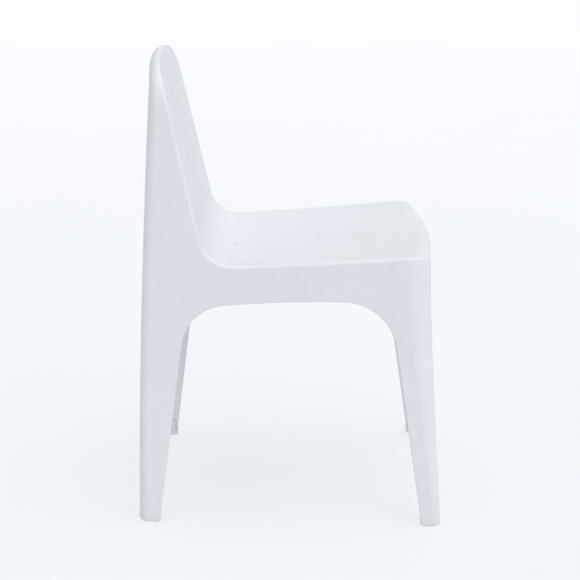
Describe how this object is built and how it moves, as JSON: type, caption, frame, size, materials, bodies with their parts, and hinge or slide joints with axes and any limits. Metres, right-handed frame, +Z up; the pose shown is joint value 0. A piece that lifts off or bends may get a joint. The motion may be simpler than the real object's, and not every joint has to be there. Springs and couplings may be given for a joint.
{
  "type": "stacking chair",
  "caption": "Armless one-piece moulded side chair with a dished seat, a closed leaning back, drafted side panels, arched legs and plug-in foot glides; it nests on others like it.",
  "frame": {"origin": "on the floor, at the middle of the chair's footprint box", "axes": "+Z up, -Y the way the sitter faces, +X to the sitter's left"},
  "size_m": [0.487, 0.5333, 0.8084],
  "materials": {
    "shell_plastic": "fine satin moulded grain",
    "glide_plastic": "smooth satin",
    "sole_rubber": "matt soft"
  },
  "bodies": {
    "root": {"shell": "shell_plastic", "glide_front_left": "glide_plastic", "glide_front_right": "glide_plastic", "glide_rear_left": "glide_plastic", "glide_rear_right": "glide_plastic", "sole_front_left": "sole_rubber", "sole_front_right": "sole_rubber", "sole_rear_left": "sole_rubber", "sole_rear_right": "sole_rubber"}
  },
  "joints": []
}
